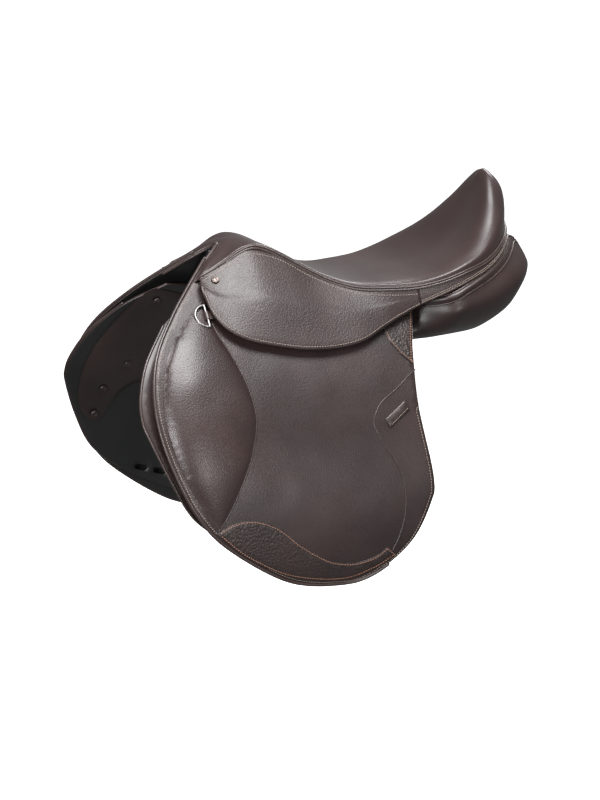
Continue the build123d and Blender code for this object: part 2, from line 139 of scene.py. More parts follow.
# Panel rows, each a ring: inner middle, inner top, flange top, flange foot, side, outer foot, bottom,
# inner foot, inner side
PANEL_ROWS = [
    [(-205, y, z) for y, z in [(30, 40), (30, 54), (36, 53), (46, 40), (62, 15), (98, -31),
                            (108, -60), (88, -38), (54, -4)]],
    [(-140, y, z) for y, z in [(28, 34), (32, 49), (42, 45), (52, 32), (66, 12), (94, -25),
                            (93, -42), (72, -30), (44, 0)]],
    [(-60, y, z) for y, z in [(27, 20), (34, 37), (46, 33), (56, 22), (69, 6), (89, -16),
                            (82, -28), (62, -27), (36, -6)]],
    [(20, y, z) for y, z in [(27, 20), (35, 39), (52, 35), (62, 24), (73, 7), (90, -15),
                            (82, -27), (62, -28), (36, -8)]],
    [(52, 27, 22), (52, 36, 44), (54, 92, 34), (54, 97, 22), (54, 98, 8),
     (54, 98, -11), (52, 83, -26), (52, 61, -28), (52, 36, -9)],
    [(80, 27, 26), (80, 38, 50), (82, 116, 40), (84, 119, 29), (86, 123, 13),
     (84, 108, -10), (82, 84, -25), (80, 60, -28), (80, 36, -10)],
    [(112, 27, 30), (112, 38, 58), (112, 116, 53), (114, 119, 42), (119, 122, 22),
     (116, 108, -5), (112, 84, -22), (112, 58, -27), (110, 36, -8)],
    [(140, 28, 36), (140, 40, 68), (144, 107, 66), (148, 110, 55), (158, 118, 34),
     (152, 106, 4), (146, 82, -17), (142, 58, -24), (140, 36, -4)],
    [(168, 30, 48), (168, 44, 82), (171, 91, 79), (177, 95, 69), (192, 105, 46),
     (184, 97, 14), (172, 76, -8), (164, 56, -17), (162, 38, 4)],
    [(190, 32, 58), (190, 43, 92), (190, 71, 91), (198, 75, 82), (213, 88, 55),
     (205, 82, 26), (193, 66, 3), (186, 52, -4), (184, 38, 16)],
    [(206, 35, 66), (205, 42, 98), (205, 51, 99), (213, 54, 91), (228, 68, 62),
     (221, 64, 38), (210, 56, 18), (203, 48, 14), (200, 39, 32)],
    [(220, 41, 68), (217, 42, 94), (218, 46, 94), (223, 48, 88), (234, 54, 64),
     (230, 53, 48), (222, 50, 34), (216, 46, 32), (214, 42, 46)],
]
PANEL_RING = 64             # points round each fine row
PANEL_PIPED_FROM = 24       # fine row where the piping starts


# --- Curves and surfaces --------------------------------------------------------------------------
def arc_of(z):
    """Arc length along the profile at off 0, measured upwards from where the two arcs join."""
    z = np.asarray(z, float)
    join_z = LOW_Z + LOW_R * math.sin(JOIN)
    low = LOW_R * (np.arcsin(np.clip((z - LOW_Z) / LOW_R, -1, 1)) - JOIN)
    top = TOP_R * (np.arcsin(np.clip((z - TOP_Z) / TOP_R, -1, 1)) - JOIN)
    return np.where(z < join_z, low, top)


def unroll(points):
    """Side-view points (x, z) as (x, arc length)."""
    points = np.asarray(points, float)
    return np.stack([points[:, 0], arc_of(points[:, 1])], 1)


def on_side(flat, off, sign):
    """Points (x, arc) on the layer at off, on the side of sign, and their outward normals."""
    x, s = flat[..., 0], flat[..., 1]
    low = s < 0
    radius = np.where(low, LOW_R, TOP_R)
    angle = JOIN + s / radius
    centre_y, centre_z = np.where(low, LOW_Y, TOP_Y), np.where(low, LOW_Z, TOP_Z)
    ny, nz = np.cos(angle), np.sin(angle)
    y = centre_y + (radius + off) * ny
    z = centre_z + (radius + off) * nz
    return np.stack([x, sign * y, z], -1), np.stack([0 * x, sign * ny, nz], -1)


def catmull(a, b, c, d, t):
    """The Catmull-Rom curve from b, at t = 0, to c, at t = 1."""
    return 0.5 * (2 * b + (c - a) * t + (2 * a - 5 * b + 4 * c - d) * t ** 2
                  + (3 * b - a - 3 * c + d) * t ** 3)


def smooth(points, count, closed=False):
    """Catmull-Rom curve through points, resampled evenly by length."""
    p = np.asarray(points, float)
    if closed:
        ring = np.concatenate([p[-1:], p, p[:2]])
    else:
        ring = np.concatenate([2 * p[:1] - p[1:2], p, 2 * p[-1:] - p[-2:-1]])
    t = np.linspace(0, 1, 24, endpoint=False)[:, None]
    parts = [catmull(*ring[k:k + 4], t) for k in range(len(ring) - 3)]
    fine = np.concatenate(parts + [p[:1] if closed else p[-1:]])
    return resample(fine, count, closed)


def resample(fine, count, closed=False):
    """Points spaced evenly along a polyline."""
    length = np.concatenate([[0], np.cumsum(np.linalg.norm(np.diff(fine, axis=0), axis=1))])
    where = np.linspace(0, length[-1], count + 1)[:-1] if closed else np.linspace(0, length[-1], count)
    return np.stack([np.interp(where, length, fine[:, k]) for k in range(fine.shape[1])], 1)


def join_curves(*curves, count):
    """One closed loop through several open curves, with their corners kept."""
    pieces = [np.asarray(c, float) for c in curves]
    return resample(np.concatenate(pieces + [pieces[0][:1]]), count, closed=True)


# --- Mesh helpers ---------------------------------------------------------------------------------
def new_object(name, verts, faces, materials, face_material=None):
    mesh = bpy.data.meshes.new(name)
    mesh.from_pydata([tuple(v) for v in np.asarray(verts) * MM], [], faces)
    mesh.validate()
    obj = bpy.data.objects.new(name, mesh)
    bpy.context.scene.collection.objects.link(obj)
    for material in materials:
        mesh.materials.append(material)
    if face_material is not None and len(face_material) == len(mesh.polygons):
        mesh.polygons.foreach_set("material_index", face_material)
    return obj


def clean(obj, merge=0.00001):
    """Join doubled points, turn the faces outwards and shade them smooth."""
    bm = bmesh.new()
    bm.from_mesh(obj.data)
    bmesh.ops.remove_doubles(bm, verts=bm.verts, dist=merge)
    bmesh.ops.dissolve_degenerate(bm, edges=bm.edges, dist=merge * 0.5)
    bmesh.ops.recalc_face_normals(bm, faces=bm.faces)
    bm.to_mesh(obj.data)
    bm.free()
    obj.data.polygons.foreach_set("use_smooth", [True] * len(obj.data.polygons))
    obj.data.update()
    return obj


def ring_faces(rows, columns, closed=True, start=0):
    """Quads between neighbouring rows of points."""
    faces = []
    span = columns if closed else columns - 1
    for r in range(rows - 1):
        for c in range(span):
            a = start + r * columns + c
            b = start + r * columns + (c + 1) % columns
            faces.append((a, b, b + columns, a + columns))
    return faces


def wander(points, size, scale, seed):
    """Smooth low-frequency offsets for leather that is never perfectly flat."""
    shift = Vector((seed * 17.3, seed * 5.1, seed * 9.7))
    return np.array([noise.noise(Vector(p) / scale + shift) for p in points.reshape(-1, 3)]
                    ).reshape(points.shape[:-1]) * size


def inside(loop, points):
    """Which flat points lie inside a closed loop."""
    x, y = points[:, :1], points[:, 1:]
    ax, ay = loop[:, 0], loop[:, 1]
    bx, by = np.roll(ax, -1), np.roll(ay, -1)
    crosses = (ay > y) != (by > y)
    slope = (bx - ax) / np.where(by == ay, 1e-9, by - ay)
    return (crosses & (x < ax + slope * (y - ay))).sum(1) % 2 == 1


def fill_flat(ring, spacing, holes=()):
    """Triangles over a closed flat ring with evenly spread points inside, leaving out the holes."""
    low, high = ring.min(0), ring.max(0)
    rows = np.arange(low[1], high[1], spacing * 0.87)
    grid = np.array([(x + 0.5 * spacing * (k % 2), y) for k, y in enumerate(rows)
                     for x in np.arange(low[0], high[0], spacing)])
    grid = grid[inside(ring, grid)]
    for loop in (ring, *holes):
        far = ((grid[:, None, :] - loop[None]) ** 2).sum(2).min(1) > (0.55 * spacing) ** 2
        grid = grid[far]
    for loop in holes:
        grid = grid[~inside(loop, grid)]
    loops = [ring, *holes]
    edges, start = [], 0
    for loop in loops:
        edges += [(start + k, start + (k + 1) % len(loop)) for k in range(len(loop))]
        start += len(loop)
    points = np.concatenate(loops + [grid])
    out = delaunay_2d_cdt([Vector(q) for q in points], edges, [list(range(len(ring)))], 1, 1e-4)
    flat = np.array([tuple(q) for q in out[0]])
    faces = [tuple(f) for f in out[2]]
    if holes:
        middle = np.array([flat[list(f)].mean(0) for f in faces])
        open_area = np.zeros(len(faces), bool)
        for loop in holes:
            open_area |= inside(loop, middle)
        faces = [f for f, gap in zip(faces, open_area) if not gap]
    on_rim = np.array([any(k < start for k in origin) for origin in out[3]])
    return flat, faces, on_rim


def membrane(flat, faces, on_rim, push):
    """Height of a skin blown up over the outline: zero on the rim, one at its highest."""
    tri = np.array(faces)
    pairs = np.unique(np.sort(np.concatenate([tri[:, :2], tri[:, 1:], tri[:, ::2]]), axis=1), axis=0)
    a, b = np.concatenate([pairs[:, 0], pairs[:, 1]]), np.concatenate([pairs[:, 1], pairs[:, 0]])
    degree = np.maximum(np.bincount(a, minlength=len(flat)), 1)
    height = np.zeros(len(flat))
    for _ in range(MEMBRANE_PASSES):
        height = np.bincount(a, weights=height[b], minlength=len(flat)) / degree + push
        height[on_rim] = 0
    return height / height.max()


def sheet_piece(name, outline, sign, top, bottom, materials, edge=0.9, relief=None, two_faced=False,
                rough=0.0, seed=1, spacing=7.0, holes=()):
    """A sheet or pad on the side profile, with a rounded rim; relief(flat, faces, on_rim) raises its top."""
    thick = top - bottom
    core = inset(outline, edge)
    flat, tris, on_rim = fill_flat(core, spacing, holes)
    height = np.full(len(flat), float(top))
    if relief is not None:
        height = height + relief(flat, tris, on_rim)
    upper = on_side(flat, height, sign)[0]
    if rough:
        fade = np.where(on_rim, 0.0, 1.0)
        height = height + wander(upper * np.array([1, sign, 1]), rough, 42.0, seed) * fade
        upper = on_side(flat, height, sign)[0]
    lower = on_side(flat, bottom, sign)[0]
    count = len(flat)
    faces = list(tris) + [tuple(k + count for k in f[::-1]) for f in tris]
    index = [0] * len(tris) + [1 if two_faced else 0] * len(tris)
    verts = [upper, lower]
    rim = [(edge, top), (0.3 * edge, top - 0.14 * thick), (0.0, top - 0.4 * thick),
           (0.0, bottom + 0.4 * thick), (0.3 * edge, bottom + 0.14 * thick), (edge, bottom)]
    bands = [[on_side(inset(outline, d) if d != edge else core, off, sign)[0] for d, off in rim]]
    bands += [[on_side(hole, off, sign)[0] for off in (top, bottom)] for hole in holes]
    start = 2 * count
    for rings in bands:
        band = ring_faces(len(rings), len(rings[0]), start=start)
        faces += band
        index += [0] * len(band)
        verts += rings
        start += len(rings) * len(rings[0])
    return clean(new_object(name, np.concatenate(verts), faces, materials, index))


def tube(name, path, radius, material, sides=10):
    """A round cord along a path of points, drawn in at its ends."""
    p = np.asarray(path, float)
    along = np.gradient(p, axis=0)
    along /= np.linalg.norm(along, axis=1)[:, None] + 1e-9
    up = np.array([0.13, 0.99, 0.05])
    frames = []
    normal = np.cross(along[0], up)
    for tangent in along:
        normal = normal - tangent * normal.dot(tangent)
        normal /= np.linalg.norm(normal) + 1e-9
        frames.append((normal, np.cross(tangent, normal)))
    radii = np.full(len(p), float(radius))
    radii[0] = radii[-1] = 0.35 * radius
    angle = np.linspace(0, 2 * math.pi, sides, endpoint=False)
    rows = [q + r * (np.cos(angle)[:, None] * n + np.sin(angle)[:, None] * b)
            for q, r, (n, b) in zip(p, radii, frames)]
    faces = ring_faces(len(rows), sides)
    faces += [tuple(range(sides))[::-1], tuple(range((len(rows) - 1) * sides, len(rows) * sides))]
    return clean(new_object(name, np.concatenate(rows), faces, [material]))


def along_run(where, run, values):
    """The value at a length along a run of points."""
    return np.array([np.interp(where, run, values[:, k]) for k in range(3)])


def stitches(name, runs, material, length=2.7, gap=1.1, radius=0.46):
    """Thread stitches laid along runs of (points, normals)."""
    verts, faces = [], []
    sides = 6
    # Each ring of a stitch: place along it, thickness, lift
    rings = [(-1.0, 0.25, -0.3), (-0.6, 0.9, 0.1), (0.0, 1.0, 0.3), (0.6, 0.9, 0.1), (1.0, 0.25, -0.3)]
    angle = np.linspace(0, 2 * math.pi, sides, endpoint=False)
    for points, normals in runs:
        points, normals = np.asarray(points), np.asarray(normals)
        run = np.concatenate([[0], np.cumsum(np.linalg.norm(np.diff(points, axis=0), axis=1))])
        for s in np.arange(0.5 * gap, run[-1] - length, length + gap):
            a, b = along_run(s, run, points), along_run(s + length, run, points)
            n = along_run(s, run, normals)
            axis = b - a
            half = 0.5 * np.linalg.norm(axis)
            axis = axis / (2 * half + 1e-9)
            n = n / (np.linalg.norm(n) + 1e-9)
            side = np.cross(axis, n)
            start = len(verts)
            for along, fat, lift in rings:
                centre = 0.5 * (a + b) + axis * half * along + n * radius * lift
                verts.extend(centre + radius * fat * (np.cos(g) * side + np.sin(g) * n) for g in angle)
            faces += ring_faces(len(rings), sides, start=start)
            faces.append(tuple(range(start, start + sides))[::-1])
            end = start + (len(rings) - 1) * sides
            faces.append(tuple(range(end, end + sides)))
    obj = new_object(name, np.array(verts), faces, [material])
    obj.data.polygons.foreach_set("use_smooth", [True] * len(obj.data.polygons))
    return obj


def side_run(points, off, sign):
    """A smooth path over a side layer, with its normals."""
    flat = unroll(points)
    reach = np.linalg.norm(np.diff(flat, axis=0), axis=1).sum()
    flat = smooth(flat, max(12, int(reach / 2.5)))
    return on_side(flat, off, sign)


def inset(outline, distance):
    """A closed outline moved inwards."""
    along = np.roll(outline, -1, 0) - np.roll(outline, 1, 0)
    normal = np.stack([-along[:, 1], along[:, 0]], 1)
    normal /= np.linalg.norm(normal, axis=1)[:, None] + 1e-9
    ahead = np.roll(outline, -1, 0)
    area = 0.5 * np.sum(outline[:, 0] * ahead[:, 1] - ahead[:, 0] * outline[:, 1])
    return outline + normal * distance * (1 if area > 0 else -1)


# --- Materials ------------------------------------------------------------------------------------
def principled(name, colour, rough, **sockets):
    """A new material, its nodes, its links and its shader."""
    material = bpy.data.materials.new(name)
    material.use_nodes = True
    shader = material.node_tree.nodes["Principled BSDF"]
    shader.inputs["Base Color"].default_value = (*colour, 1)
    shader.inputs["Roughness"].default_value = rough
    for key, value in sockets.items():
        shader.inputs[key.replace("_", " ")].default_value = value
    return material, material.node_tree.nodes, material.node_tree.links, shader


def made(nodes, kind, **inputs):
    """A new shader node with some of its inputs set."""
    node = nodes.new(kind)
    for key, value in inputs.items():
        node.inputs[key.replace("_", " ")].default_value = value
    return node


def ramp(nodes, first, last, low=0.0, high=1.0):
    """A colour ramp between two colours."""
    node = nodes.new("ShaderNodeValToRGB")
    for stop, place, colour in zip(node.color_ramp.elements, (low, high), (first, last)):
        stop.position = place
        stop.color = (*colour, 1)
    return node


def darker(colour, share):
    return tuple(c * share for c in colour)


def leather(name, colour, worn, rough=0.42, grain=900.0, depth=0.35, coat=0.25, coat_rough=0.28, wrinkle=0.06,
            mottled=0.5):
    """Dyed leather: pebbles from Voronoi cells with painted shade between them, pores and creases from noise,
    uneven dye and polish.
    """
    material, nodes, links, shader = principled(name, colour, rough, Specular_IOR_Level=0.45,
                                                Coat_Weight=coat, Coat_Roughness=coat_rough)
    place = nodes.new("ShaderNodeTexCoord").outputs["Object"]
    # Pebbles, their cell walls bent by a noise
    warp = made(nodes, "ShaderNodeTexNoise", Scale=grain * 0.35, Detail=2)
    bent = nodes.new("ShaderNodeVectorMath")
    bent.operation = "MULTIPLY_ADD"
    bent.inputs[1].default_value = (1.1 / grain,) * 3
    cells = made(nodes, "ShaderNodeTexVoronoi", Scale=grain)
    cells.feature = "SMOOTH_F1"
    cells.inputs["Smoothness"].default_value = 0.6
    links.new(place, warp.inputs["Vector"])
    links.new(warp.outputs["Color"], bent.inputs[0])
    links.new(place, bent.inputs[2])
    links.new(bent.outputs[0], cells.inputs["Vector"])
    # Uneven dye from a cloud noise, then painted shade: darker in the hollows between the pebbles, a little
    # lighter on their tops
    crease = made(nodes, "ShaderNodeTexNoise", Scale=48, Detail=3)
    cloud = made(nodes, "ShaderNodeTexNoise", Scale=9, Detail=3)
    tone = ramp(nodes, darker(colour, 0.82), worn, 0.5 - 0.3 * mottled, 0.5 + 0.3 * mottled)
    painted_pebble_shade = made(nodes, "ShaderNodeMapRange", From_Min=0.15, From_Max=0.75, To_Min=1.06, To_Max=0.72)
    shade = nodes.new("ShaderNodeVectorMath")
    shade.operation = "SCALE"
    links.new(place, crease.inputs["Vector"])
    links.new(place, cloud.inputs["Vector"])
    links.new(cloud.outputs["Fac"], tone.inputs["Fac"])
    links.new(cells.outputs["Distance"], painted_pebble_shade.inputs["Value"])
    links.new(tone.outputs["Color"], shade.inputs[0])
    links.new(painted_pebble_shade.outputs["Result"], shade.inputs["Scale"])
    links.new(shade.outputs[0], shader.inputs["Base Color"])
    # Uneven polish, then the relief of pebbles and creases
    polish = made(nodes, "ShaderNodeMapRange", To_Min=rough - 0.07, To_Max=rough + 0.09)
    fine = made(nodes, "ShaderNodeBump", Strength=depth, Distance=0.3 / grain)
    fine.invert = True
    broad = made(nodes, "ShaderNodeBump", Strength=wrinkle, Distance=0.0012)
    links.new(crease.outputs["Fac"], polish.inputs["Value"])
    links.new(polish.outputs["Result"], shader.inputs["Roughness"])
    links.new(cells.outputs["Distance"], fine.inputs["Height"])
    links.new(crease.outputs["Fac"], broad.inputs["Height"])
    links.new(fine.outputs["Normal"], broad.inputs["Normal"])
    links.new(broad.outputs["Normal"], shader.inputs["Normal"])
    return material


def thread(name, colour):
    """Twisted sewing thread, with painted shade in the grooves between its plies."""
    material, nodes, links, shader = principled(name, colour, 0.7, Sheen_Weight=0.3)
    place = nodes.new("ShaderNodeTexCoord").outputs["Object"]
    # Painted shade: bands darker to 0.6 of the thread's colour where the grooves between the plies lie
    ply_groove_shade = made(nodes, "ShaderNodeTexWave", Scale=900)
    tone = ramp(nodes, darker(colour, 0.6), colour)
    links.new(place, ply_groove_shade.inputs["Vector"])
    links.new(ply_groove_shade.outputs["Fac"], tone.inputs["Fac"])
    links.new(tone.outputs["Color"], shader.inputs["Base Color"])
    return material


def metal(name, colour, rough, scratches):
    """Metal with uneven polish and fine wear."""
    material, nodes, links, shader = principled(name, colour, rough, Metallic=1.0)
    place = nodes.new("ShaderNodeTexCoord").outputs["Object"]
    grain = made(nodes, "ShaderNodeTexNoise", Scale=scratches, Detail=6)
    spread = made(nodes, "ShaderNodeMapRange", To_Min=rough * 0.6, To_Max=rough * 1.6)
    bump = made(nodes, "ShaderNodeBump", Strength=0.08, Distance=0.0003)
    links.new(place, grain.inputs["Vector"])
    links.new(grain.outputs["Fac"], spread.inputs["Value"])
    links.new(spread.outputs["Result"], shader.inputs["Roughness"])
    links.new(grain.outputs["Fac"], bump.inputs["Height"])
    links.new(bump.outputs["Normal"], shader.inputs["Normal"])
    return material


def woven(name, colour, pitch):
    """Webbing with square threads of a given pitch, in metres, and painted shade on the lower squares."""
    material, nodes, links, shader = principled(name, colour, 0.85, Sheen_Weight=0.4)
    place = nodes.new("ShaderNodeTexCoord").outputs["Object"]
    # Painted shade: every other square darker, on the squares that the bump sets lower
    weave_shade_squares = made(nodes, "ShaderNodeTexChecker", Scale=1.0 / pitch, Color1=(*colour, 1),
                  Color2=(*darker(colour, 0.62), 1))
    bump = made(nodes, "ShaderNodeBump", Strength=0.5, Distance=0.0004)
    links.new(place, weave_shade_squares.inputs["Vector"])
    links.new(weave_shade_squares.outputs["Color"], shader.inputs["Base Color"])
    links.new(weave_shade_squares.outputs["Fac"], bump.inputs["Height"])
    links.new(bump.outputs["Normal"], shader.inputs["Normal"])
    return material


def laminate(name, light, dark):
    """Beech veneers glued in layers, the grain along the saddle."""
    material, nodes, links, shader = principled(name, light, 0.5)
    place = nodes.new("ShaderNodeTexCoord").outputs["Object"]
    stretch = made(nodes, "ShaderNodeMapping", Scale=(12, 160, 500))
    grain = made(nodes, "ShaderNodeTexNoise", Scale=1.0, Detail=5)
    tone = ramp(nodes, dark, light)
    links.new(place, stretch.inputs["Vector"])
    links.new(stretch.outputs["Vector"], grain.inputs["Vector"])
    links.new(grain.outputs["Fac"], tone.inputs["Fac"])
    links.new(tone.outputs["Color"], shader.inputs["Base Color"])
    return material


HAVANA = (0.026, 0.0135, 0.0125)
HAVANA_WORN = (0.036, 0.020, 0.0185)
MATERIALS = {
    "seat": leather("seat_calf", HAVANA, HAVANA_WORN, rough=0.40, grain=1500, depth=0.10, coat=0.35,
                    coat_rough=0.30, wrinkle=0.10, mottled=0.7),
    "skirt": leather("skirt_grain", (0.025, 0.0140, 0.0130), (0.034, 0.0200, 0.0185), rough=0.44, grain=480,
                     depth=0.55, coat=0.18, coat_rough=0.35),
    "flap": leather("flap_grain", (0.024, 0.0135, 0.0125), (0.033, 0.0190, 0.0178), rough=0.43, grain=560,
                    depth=0.45, coat=0.2, coat_rough=0.34),
    "roll": leather("roll_calf", (0.025, 0.0140, 0.0130), (0.036, 0.0205, 0.0190), rough=0.40, grain=520,
                    depth=0.45, coat=0.25, coat_rough=0.30),
    "patch": leather("patch_grain", (0.021, 0.0125, 0.0115), (0.031, 0.0190, 0.0175), rough=0.42, grain=330,
                     depth=0.8, coat=0.2, coat_rough=0.3),
    "panel": leather("panel_calf", (0.019, 0.0095, 0.0085), (0.027, 0.0145, 0.0130), rough=0.42, grain=1300,
                     depth=0.12, coat=0.2, coat_rough=0.34, wrinkle=0.08),
    "edge": leather("edge_binding", (0.028, 0.016, 0.014), (0.05, 0.032, 0.029), rough=0.38, grain=1400,
                    depth=0.1, coat=0.3),
    "lining": leather("lining_black", (0.011, 0.012, 0.0115), (0.016, 0.0165, 0.016), rough=0.5, grain=1500,
                      depth=0.12, coat=0.08),
    "strap": leather("bridle_leather", (0.032, 0.018, 0.015), (0.05, 0.03, 0.026), rough=0.42, grain=1300,
                     depth=0.12),
    "beige": thread("thread_beige", (0.36, 0.28, 0.235)),
    "rust": thread("thread_rust", (0.36, 0.155, 0.085)),
    "dark": thread("thread_dark", (0.035, 0.022, 0.02)),
    "chrome": metal("polished_chrome", (0.20, 0.19, 0.19), 0.28, 300),
    "nail": metal("brushed_nail", (0.16, 0.13, 0.12), 0.38, 500),
    "painted": metal("painted_steel", (0.05, 0.05, 0.055), 0.45, 200),
    "steel": metal("forged_steel", (0.42, 0.42, 0.43), 0.38, 220),
    "web": woven("woven_web", (0.45, 0.40, 0.32), 0.0022),
    "wood": laminate("laminated_beech", (0.50, 0.34, 0.19), (0.36, 0.22, 0.11)),
}


def add(obj, body, slot, *nodes):
    """A piece that rides on one body and stands for some CAD nodes."""
    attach(obj, body)
    if nodes:
        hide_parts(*nodes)
    return obj


def bend(obj, side, sign, kind, slot, *nodes):
    """A piece with its placing baked into its points, that stands for some CAD nodes."""
    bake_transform(obj)
    if nodes:
        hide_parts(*nodes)
    return obj


# --- Seat -----------------------------------------------------------------------------------------
def rows_between(rows, factor):
    """Smooth extra rows between control rows, point by point."""
    rows = np.asarray(rows, float)
    n = len(rows)
    u = np.linspace(0, n - 1, (n - 1) * factor + 1)
    padded = np.concatenate([2 * rows[:1] - rows[1:2], rows, 2 * rows[-1:] - rows[-2:-1]])
    out = []
    for value in u:
        k = min(int(value), n - 2)
        out.append(catmull(*padded[k:k + 4], value - k))
    return np.array(out)


def across_half(row, steps):
    """One half section from the welt to the centre line, level where it meets the other half."""
    mirrored = row[-2] * np.array([1, -1, 1])
    mirrored[0] = 2 * row[-1][0] - mirrored[0] if abs(row[-2][1]) < 1e-6 else row[-2][0]
    full = np.concatenate([row, [mirrored]])
    ring = np.concatenate([[2 * full[0] - full[1]], full])
    parts = []
    for k, count in zip(range(len(row) - 1), steps):
        t = np.linspace(0, 1, count, endpoint=False)[:, None]
        parts.append(catmull(*ring[k:k + 4], t))
    return np.concatenate(parts + [row[-1:]])


def seat():
    """The seat's leather over its stuffing, as one closed form; returns its fine rows."""
    rows = rows_between(SEAT_ROWS, SEAT_FACTOR)
    half = np.array([across_half(row, SEAT_STEPS) for row in rows])
    mirror = half[:, -2::-1] * np.array([1, -1, 1])
    top = np.concatenate([half, mirror], 1)
    count, columns = top.shape[:2]
    top[:, 2:-2, 2] += wander(top, 0.5, 45.0, 3)[:, 2:-2]
    # The underside hangs below the top by a depth that grows towards the middle and the cantle
    share = np.abs(np.linspace(-1, 1, columns))[None, :]
    left, right, middle = top[:, :1], top[:, -1:], top[:, columns // 2:columns // 2 + 1]
    depth_rows, depths = SEAT_DEPTHS
    depth = np.interp(np.arange(count), depth_rows + [count - 1], depths + [CANTLE_DEPTH])[:, None]
    edge = np.where(np.arange(columns)[None, :, None] < columns // 2, left, right)
    floor = edge + (middle - edge) * (1 - share[..., None])
    floor[..., 2] = top[..., 2] - depth * (1 - share) - 3.5 * (share > 0.99)
    floor[..., 2] = np.minimum(floor[..., 2], top[..., 2] - 0.8)
    verts = np.concatenate([top.reshape(-1, 3), floor.reshape(-1, 3)])
    faces = ring_faces(count, columns, closed=False)
    under = [tuple(k + count * columns for k in face[::-1]) for face in faces]
    shift = count * columns
    walls = [(c, c + 1, c + 1 + shift, c + shift) for c in range(columns - 1)]
    for r in range(count - 1):
        for c in (0, columns - 1):
            a, b = r * columns + c, (r + 1) * columns + c
            walls.append((a, b, b + shift, a + shift))
    obj = new_object("seat", verts, faces + under + walls, [MATERIALS["seat"]])
    clean(obj, merge=0.00004)
    add(obj, "root", "seat_leather", "seat_cover", "seat_foam", "pommel_facing_left", "pommel_facing_right")
    return rows


def welt_path(rows, lift, out):
    """The seat's edge from one front corner round the cantle to the other."""
    edge = rows[SEAT_FACTOR:, 0].copy()
    away = edge - rows[SEAT_FACTOR:, 1]
    away[:, 2] = 0
    away /= np.linalg.norm(away, axis=1)[:, None] + 1e-9
    edge = edge + away * out
    edge[:, 2] += lift
    edge[-1, 1] = 0
    return resample(np.concatenate([edge, edge[-2::-1] * np.array([1, -1, 1])]), 260)


seat_rows = seat()
for k, (lift, out, radius) in enumerate([(-0.2, 0.9, 1.5), (-3.3, 1.8, 1.7)]):
    cord = tube(f"seat_welt_{k + 1}", welt_path(seat_rows, lift, out), radius, MATERIALS["edge"])
    add(cord, "root", "seat_leather")


def front_edge(lift, ahead):
    """Front edge of the pommel from the left nail over the top to the right nail."""
    row = across_half(seat_rows[0], SEAT_STEPS)
    path = np.concatenate([row, row[-2::-1] * np.array([1, -1, 1])])
    return resample(path + np.array([-ahead, 0, lift]), 90)


for k, (lift, ahead, radius) in enumerate([(0.4, 0.4, 2.5), (-3.6, 3.2, 2.4)]):
    piping = tube(f"pommel_piping_{k + 1}", front_edge(lift, ahead), radius, MATERIALS["edge"])
    add(piping, "root", "seat_leather")


# --- Skirts and cantle strip ----------------------------------------------------------------------
def grid_normals(grid):
    """Unit normals of a grid of points."""
    du, dv = np.gradient(grid, axis=0), np.gradient(grid, axis=1)
    n = np.cross(du, dv)
    n /= np.linalg.norm(n, axis=2)[..., None] + 1e-9
    return n


def skirt_grid():
    """Outer face of the right skirt, columns along the saddle, rows from the welt down."""
    columns = []
    for top, foot in SKIRT_COLUMNS:
        top, foot = np.array(top, float), np.array(foot, float)
        span = np.linalg.norm(foot - top)
        down = (foot - top) / span
        out = np.cross(down, [1, 0, 0])
        out = out if out[1] + out[0] > 0 else -out
        bulge = 0.035 * span
        middle = 0.5 * (top + foot) + out * bulge
        columns.append([top, 0.25 * top + 0.25 * foot + 0.5 * middle + out * 0.2 * bulge, middle,
                        0.5 * middle + 0.1 * top + 0.4 * foot + out * 0.3 * bulge, foot])
    return rows_between(columns, SKIRT_FACTOR)


def with_normals(grid):
    """A grid's columns resampled, and normals that point away from the saddle's right side."""
    fine = np.array([resample(column, SKIRT_STEPS) for column in grid])
    n = grid_normals(fine)
    return fine, -n if n[..., 1].mean() < 0 else n


def sheet_from_grid(name, grid, thickness, material, sign):
    """A closed leather sheet from its outer face, with a rounded rim."""
    outer, n = with_normals(grid)
    inner = outer - n * thickness
    along = np.gradient(outer, axis=1)
    along /= np.linalg.norm(along, axis=2)[..., None] + 1e-9
    outer[:, -1] -= n[:, -1] * 0.7
    lip = outer[:, -1:] + along[:, -1:] * 0.5 - n[:, -1:] * 0.5 * thickness
    loop = np.concatenate([outer, lip, inner[:, ::-1]], 1) * np.array([1, sign, 1])
    columns, rows = loop.shape[:2]
    verts = loop.reshape(-1, 3)
    faces = ring_faces(columns, rows)
    faces += [tuple(range(rows))[::-1], tuple(range((columns - 1) * rows, columns * rows))]
    return clean(new_object(name, verts, faces, [material]))


def grid_run(grid, distance, sign, first=0, last=None, from_foot=True, lift=0.2):
    """A path over the skirt at a distance from its lower or its top edge."""
    points, normals = [], []
    for column, normal in list(zip(*with_normals(grid)))[first:last]:
        length = np.concatenate([[0], np.cumsum(np.linalg.norm(np.diff(column, axis=0), axis=1))])
        where = length[-1] - distance if from_foot else distance
        where = min(max(where, 0), length[-1])
        points.append(along_run(where, length, column))
        normals.append(along_run(where, length, normal))
    flip = np.array([1, sign, 1])
    return (np.array(points) + np.array(normals) * lift) * flip, np.array(normals) * flip


whole_skirt = skirt_grid()
split = SKIRT_LAST_MOVING * SKIRT_FACTOR


